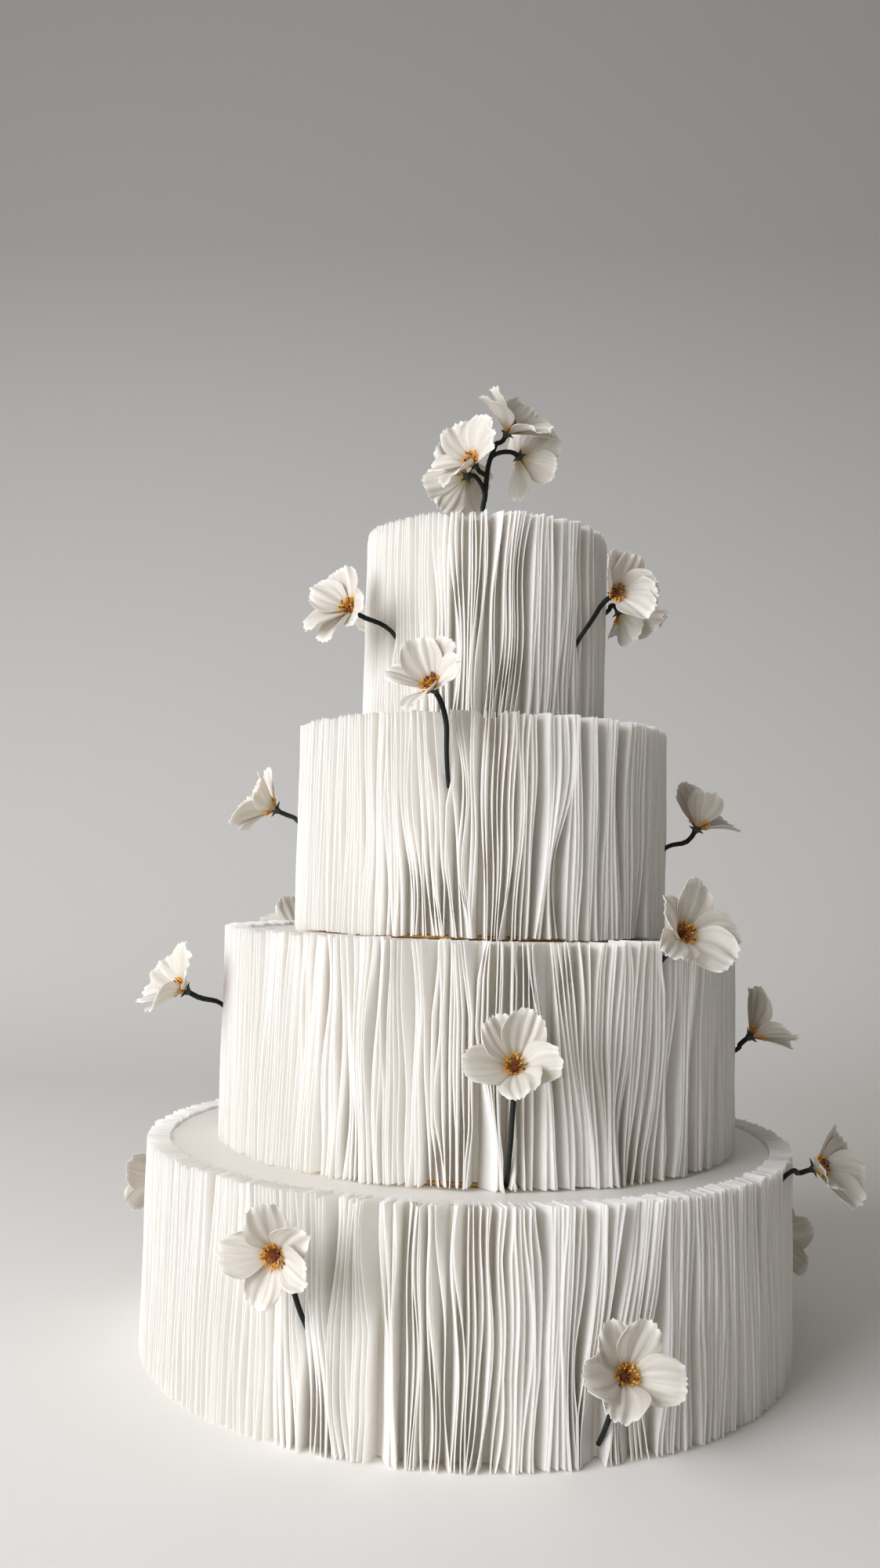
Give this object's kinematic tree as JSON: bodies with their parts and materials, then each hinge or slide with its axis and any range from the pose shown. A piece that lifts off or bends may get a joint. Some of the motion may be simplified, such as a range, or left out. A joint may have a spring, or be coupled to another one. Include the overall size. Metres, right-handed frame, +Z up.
{
  "type": "tiered wedding cake",
  "caption": "Round stacked wedding cake with smooth icing, collars of thin upright sheets round each tier and loose paper flowers on dark wire stems.",
  "frame": {"origin": "middle of the bottom tier's underside", "axes": "+Z up through the tiers, -Y towards the front, +X to the right seen from the front"},
  "size_m": [0.4504, 0.443, 0.5679],
  "materials": {
    "icing": "smooth satin sugar icing",
    "paper": "thin white wafer paper, matte and slightly translucent",
    "gold_card": "gold foil board",
    "petal": "cream wafer paper petals with orange stamens",
    "stem": "wire wound with near-black green florist tape"
  },
  "bodies": {
    "root": {"tier_1_card": "gold_card", "tier_1_cake": "icing", "tier_1_strips": "paper", "tier_2_card": "gold_card", "tier_2_cake": "icing", "tier_2_strips": "paper", "tier_3_card": "gold_card", "tier_3_cake": "icing", "tier_3_strips": "paper", "tier_4_cake": "icing", "tier_4_strips": "paper", "bloom_a": "petal", "bloom_b": "petal", "bloom_c": "petal", "bloom_d": "petal", "bloom_e": "petal", "bloom_f": "petal", "bloom_g": "petal", "bloom_h": "petal", "bloom_i": "petal", "bloom_j": "petal", "bloom_k": "petal", "bloom_l": "petal", "bloom_m": "petal", "bloom_n": "petal", "bloom_o": "petal", "bloom_p": "petal", "bloom_q": "petal", "bloom_r": "petal", "bloom_s": "petal", "bloom_t": "petal", "bloom_u": "petal", "bloom_v": "petal", "bloom_w": "petal", "stem_top": "stem", "stem_e": "stem", "stem_f": "stem", "stem_g": "stem", "stem_h": "stem", "stem_i": "stem", "stem_j": "stem", "stem_k": "stem", "stem_l": "stem", "stem_m": "stem", "stem_n": "stem", "stem_o": "stem", "stem_p": "stem", "stem_q": "stem", "stem_r": "stem", "stem_s": "stem", "stem_t": "stem", "stem_u": "stem", "stem_v": "stem", "stem_w": "stem"}
  },
  "joints": []
}
